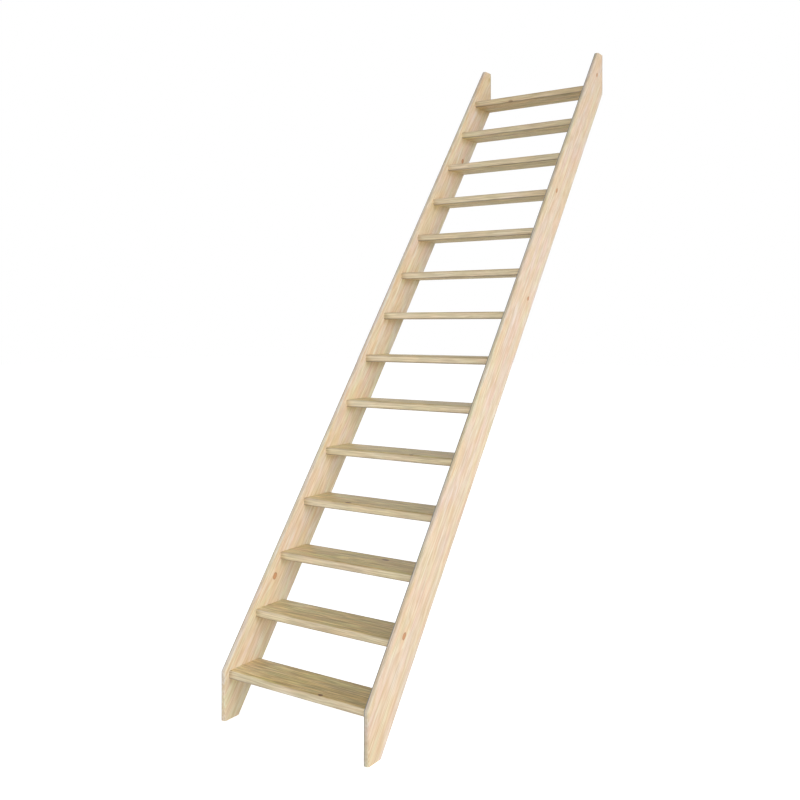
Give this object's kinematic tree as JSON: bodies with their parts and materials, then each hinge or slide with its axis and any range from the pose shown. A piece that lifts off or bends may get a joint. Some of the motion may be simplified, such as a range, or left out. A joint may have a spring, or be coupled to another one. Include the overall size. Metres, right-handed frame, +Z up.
{
  "type": "straight open wooden stair",
  "caption": "Steep straight open stair of plain softwood: plank treads with rounded noses housed between two plank strings, with level and plumb cuts at floor and landing.",
  "frame": {"origin": "centre of the left string's sole, its level cut on the finished floor", "axes": "+X to the right across the stair for someone climbing it, +Y in the direction of climb, +Z up"},
  "size_m": [0.704, 2.1867, 3],
  "materials": {
    "string_wood": "planed and bare",
    "tread_wood": "planed and bare"
  },
  "bodies": {
    "root": {"left_string": "string_wood", "right_string": "string_wood", "tread_01": "tread_wood", "tread_02": "tread_wood", "tread_03": "tread_wood", "tread_04": "tread_wood", "tread_05": "tread_wood", "tread_06": "tread_wood", "tread_07": "tread_wood", "tread_08": "tread_wood", "tread_09": "tread_wood", "tread_10": "tread_wood", "tread_11": "tread_wood", "tread_12": "tread_wood", "tread_13": "tread_wood", "tread_14": "tread_wood"}
  },
  "joints": []
}
